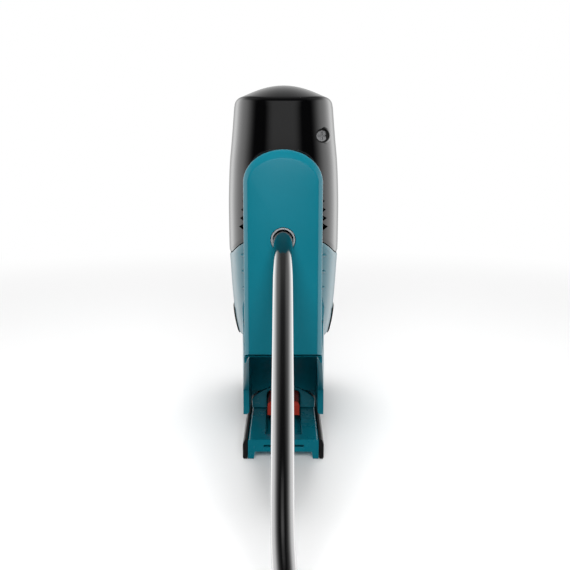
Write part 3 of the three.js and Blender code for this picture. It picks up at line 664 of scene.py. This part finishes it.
def heel_shade_strips():
    """Dark guards along the sides of the housing's heel, a little proud of it."""
    z, turn = np.meshgrid(np.linspace(SHADE_STRIP_LOW, SHADE_STRIP_HIGH, SHADE_STRIP_ROWS),
                          np.linspace(SHADE_STRIP_FROM, SHADE_STRIP_TO, SHADE_STRIP_COLUMNS), indexing="ij")
    below = np.clip((BODY_LOW + ROUND_LOW - z) / ROUND_LOW, 0, 1)
    x, y = section(turn, z, ROUND_LOW * (1 - np.sqrt(1 - below ** 2)) - SHADE_STRIP_PROUD)
    for side, hand in SIDES.items():
        name = "heel_shade_strip_" + hand
        points = np.stack([side * x, y + BODY_MIDDLE, z], -1).reshape(-1, 3)
        faces = grid_quads(SHADE_STRIP_ROWS, SHADE_STRIP_COLUMNS, False)[:, ::side]
        # A black strip where the heel's underside edge is in shade: painted shade.
        piece = in_scene(name, mesh_from(name, points, faces), "soft")
        solidify(piece, SHADE_STRIP_WALL)
        finished(piece, "housing", "soft_grip")


# CAD nodes whose edges are rounded: radius in millimetres and finish.
EDGED = {
    "lower_housing_left": (0.7, "teal"), "lower_housing_right": (0.7, "teal"), "grip_left": (0.5, "teal"),
    "grip_right": (0.5, "teal"), "grip_pad": (0.4, "soft"), "bevel_seat": (0.4, "enamel"),
    "shoe_plate": (0.6, "enamel"), "shoe_pad_left": (0.45, "soft"), "shoe_pad_right": (0.45, "soft"),
    "bevel_saddle": (0.5, "enamel"), "bevel_lock": (0.7, "red"), "trigger": (1.4, "control"),
    "lock_button": (0.6, "control"), "orbit_selector": (0.6, "control"), "speed_dial": (0.3, "dial"),
    "blade_clamp": (0.3, "steel"), "clamp_ring": (0.4, "control"), "pendulum_fork": (0.35, "steel"),
    "guide_roller": (0.4, "steel"), "head_screw": (0.25, "steel"), "plunger": (0.35, "steel"),
    "fork_pin": (0.15, "steel"), "roller_pin": (0.15, "steel"), "gear_case": (0.6, "alloy"),
}
# CAD nodes that keep their form, by finish.
PLAIN = {
    "steel": ["field_stack", "rear_bearing", "front_bearing", "drive_pinion", "drive_gear", "gear_axle",
              "crank_pin", "clamp_screw_left", "clamp_screw_right"],
    "brass": ["commutator", "upper_bush", "lower_bush", "brush_holder_left", "brush_holder_right"],
    "copper": ["armature"],
    "inside": ["cooling_fan", "switch_body", "speed_module", "cord_clamp", "carbon_brush_left",
               "carbon_brush_right", "plunger_seal"],
}


# Area lights: name, place and aim, width and height, and power in watts.
LIGHTS = [
    ("overhead", (0.0, 0.3, 1.45), (0, 0, 0), (0.6, 0.6), 13.0),
    ("ceiling", (0.0, 0.5, 1.9), (0, 0, 0), (2.4, 2.4), 15.0),
    ("behind_camera", (0.0, -0.78, 0.5), (0, 0, 0.14), (0.5, 0.4), 6.4),
]
CAMERA_PLACE, CAMERA_PITCH, LENS, SENSOR = (0.001, -0.5143, 0.1824), 80.0, 50.0, 36.0
FLOOR_HALF, FLOOR_FADE, FLOOR_SEEN, FLOOR_BOUNCED = 6000, (0.3, 0.9), (0.88,) * 3, (0.3,) * 3
FILL = 0.12


def area_light(name, place, aim, size, power):
    """A rectangular soft light that faces a point and isn't seen in gloss."""
    data = bpy.data.lights.new(name, "AREA")
    data.shape, data.size, data.size_y, data.energy = "RECTANGLE", *size, power
    made = bpy.data.objects.new(name, data)
    bpy.context.scene.collection.objects.link(made)
    made.visible_glossy = False
    way = np.asarray(aim, float) - np.asarray(place, float)
    made.location = place
    made.rotation_euler = Vector(way).to_track_quat("-Z", "Y").to_euler()


def studio_floor():
    """A pale floor that fades into white far off, and throws less light back than it shows."""
    corners = [(-FLOOR_HALF, -FLOOR_HALF, 0), (FLOOR_HALF, -FLOOR_HALF, 0),
               (FLOOR_HALF, FLOOR_HALF, 0), (-FLOOR_HALF, FLOOR_HALF, 0)]
    floor = mesh_from("floor", corners, [(0, 1, 2, 3)])
    made = in_scene("studio_floor", floor, None, 0)
    made.visible_glossy = False
    finish = Finish("studio_floor", Roughness=0.9, Specular_IOR_Level=0.1)
    seen = finish.node("ShaderNodeLightPath", {}, {}, "Is Camera Ray")
    finish.drive("Base Color", finish.mixed(seen, FLOOR_BOUNCED, FLOOR_SEEN))
    away = finish.node("ShaderNodeVectorMath", {"operation": "LENGTH"}, {0: finish.place}, "Value")
    far = finish.node("ShaderNodeMapRange", {"interpolation_type": "SMOOTHSTEP"}, {
        "Value": away, "From Min": FLOOR_FADE[0], "From Max": FLOOR_FADE[1]}) * seen
    glow = finish.node("ShaderNodeEmission", {}, {"Strength": 1.0})
    near = Wire(finish, finish.shader.outputs[0])
    whole = finish.node("ShaderNodeMixShader", {}, {0: far, 1: near, 2: glow})
    finish.tree.links.new(whole.socket, finish.tree.nodes["Material Output"].inputs["Surface"])
    floor.materials.append(finish.material)


def studio_sky():
    """White to the camera and dim to matt surfaces. Gloss sees a glow ahead and to the sides, and a softer one
    behind the camera from a little below level upwards."""
    world = bpy.data.worlds.new("studio")
    bpy.context.scene.world = world
    world.use_nodes = True
    world.node_tree.nodes.clear()
    sky = Nodes(world.node_tree)

    def ramp(value, *limits):
        names = ("From Min", "From Max", "To Min", "To Max")
        return sky.node("ShaderNodeMapRange", {"interpolation_type": "SMOOTHSTEP"}, {
            "Value": value, **dict(zip(names, limits))})

    place = sky.node("ShaderNodeTexCoord", {}, {}, "Generated")
    right, ahead, up = [sky.node("ShaderNodeSeparateXYZ", {}, {0: place}, axis) for axis in "XYZ"]
    across = right.math("ABSOLUTE", 0.0)
    glow = ramp(ahead, -0.62, 0.2, 0.004, 0.62) * ramp(across, 0.2, 0.62, 1.0, 3.8)
    glow = glow * ramp(up, 0.16, 0.75, 1.0, 0.2)
    soft = ramp(up, -0.16, 0.14, 0.0, 0.85) * ramp(across, 0.1, 0.42, 1.0, 0.0)
    soft = soft * ramp(ahead, -0.8, -0.5, 1.0, 0.0)
    fill, gloss, white = [
        sky.node("ShaderNodeBackground", {}, {"Color": (1, 1, 1, 1), "Strength": strength})
        for strength in (FILL, glow + soft, 1.0)]
    shown = fill
    for ray, shade in (("Is Glossy Ray", gloss), ("Is Camera Ray", white)):
        seen = sky.node("ShaderNodeLightPath", {}, {}, ray)
        shown = sky.node("ShaderNodeMixShader", {}, {0: seen, 1: shown, 2: shade})
    out = sky.tree.nodes.new("ShaderNodeOutputWorld")
    sky.tree.links.new(shown.socket, out.inputs[0])


def studio():
    """Camera, floor, lights and sky."""
    scene = bpy.context.scene
    camera = bpy.data.objects.new("camera", bpy.data.cameras.new("camera"))
    scene.collection.objects.link(camera)
    camera.data.lens, camera.data.sensor_width = LENS, SENSOR
    camera.data.clip_start = 0.02
    camera.location = CAMERA_PLACE
    camera.rotation_euler = (math.radians(CAMERA_PITCH), 0.0, 0.0)
    scene.camera = camera
    studio_floor()
    for light in LIGHTS:
        area_light(*light)
    studio_sky()
    scene.view_settings.view_transform = "Standard"


def operator(identifier, label, words, work):
    """An Operator class that calls one maker."""

    def execute(self, context):
        work(context)
        return {"FINISHED"}

    return type("JIGSAW_OT_" + identifier, (bpy.types.Operator,), {
        "__doc__": words, "bl_idname": "jigsaw." + identifier, "bl_label": label, "execute": execute})


def make_mouldings(context):
    """The head cover, both halves of the motor housing, the ribs and the guards."""
    sizes = context.scene.jigsaw_sizes
    head_cover(sizes)
    for side in SIDES:
        motor_half(side, sizes)
    corner_ribs(sizes)
    heel_shade_strips()


def make_edged(context):
    """The CAD forms with rounded edges."""
    for node, (width, finish) in EDGED.items():
        edged(node, width, finish)


def make_inside(context):
    """Finishes for the CAD nodes that keep their form."""
    for finish, nodes in PLAIN.items():
        for node in nodes:
            mesh = frame["nodes"][node].data
            mesh.materials.clear()
            mesh.materials.append(FINISHES[finish])


def fill_finishes(context):
    """Puts every finish in the table that the makers read."""
    FINISHES.update(make_finishes(context.scene.jigsaw_colours))


STEPS = [
    operator("stage", "Studio", "Makes the camera, floor and lights", lambda context: studio()),
    operator("finishes", "Finishes", "Makes the materials", fill_finishes),
    operator("cord", "Cord", "Makes the cord, plug and tie",
             lambda context: cord(context.scene.jigsaw_sizes)),
    operator("mouldings", "Mouldings", "Makes the head cover and the motor housing", make_mouldings),
    operator("column", "Rear column", "Makes the rear column", lambda context: rear_column()),
    operator("relief", "Strain relief", "Makes the strain relief", lambda context: strain_relief()),
    operator("edged", "Edged parts", "Rounds the edges of the pressed and moulded parts", make_edged),
    operator("inside", "Inner parts", "Gives the inner parts their finishes", make_inside),
]


class JIGSAW_PT_panel(bpy.types.Panel):
    """Lists the makers in the sidebar."""

    bl_label, bl_space_type, bl_region_type, bl_category = "Jigsaw", "VIEW_3D", "UI", "Jigsaw"

    def draw(self, context):
        for step in STEPS:
            self.layout.operator(step.bl_idname)


CLASSES = [JigsawSizes, JigsawColours, *STEPS, JIGSAW_PT_panel]


def register():
    for cls in CLASSES:
        bpy.utils.register_class(cls)
    bpy.types.Scene.jigsaw_sizes = PointerProperty(type=JigsawSizes)
    bpy.types.Scene.jigsaw_colours = PointerProperty(type=JigsawColours)


def unregister():
    del bpy.types.Scene.jigsaw_sizes, bpy.types.Scene.jigsaw_colours
    for cls in reversed(CLASSES):
        bpy.utils.unregister_class(cls)


def main():
    """Registers the classes, calls every maker in order and writes the sizes."""
    register()
    for step in STEPS:
        getattr(bpy.ops.jigsaw, step.bl_idname.split(".")[1])()


if __name__ == "__main__":
    main()
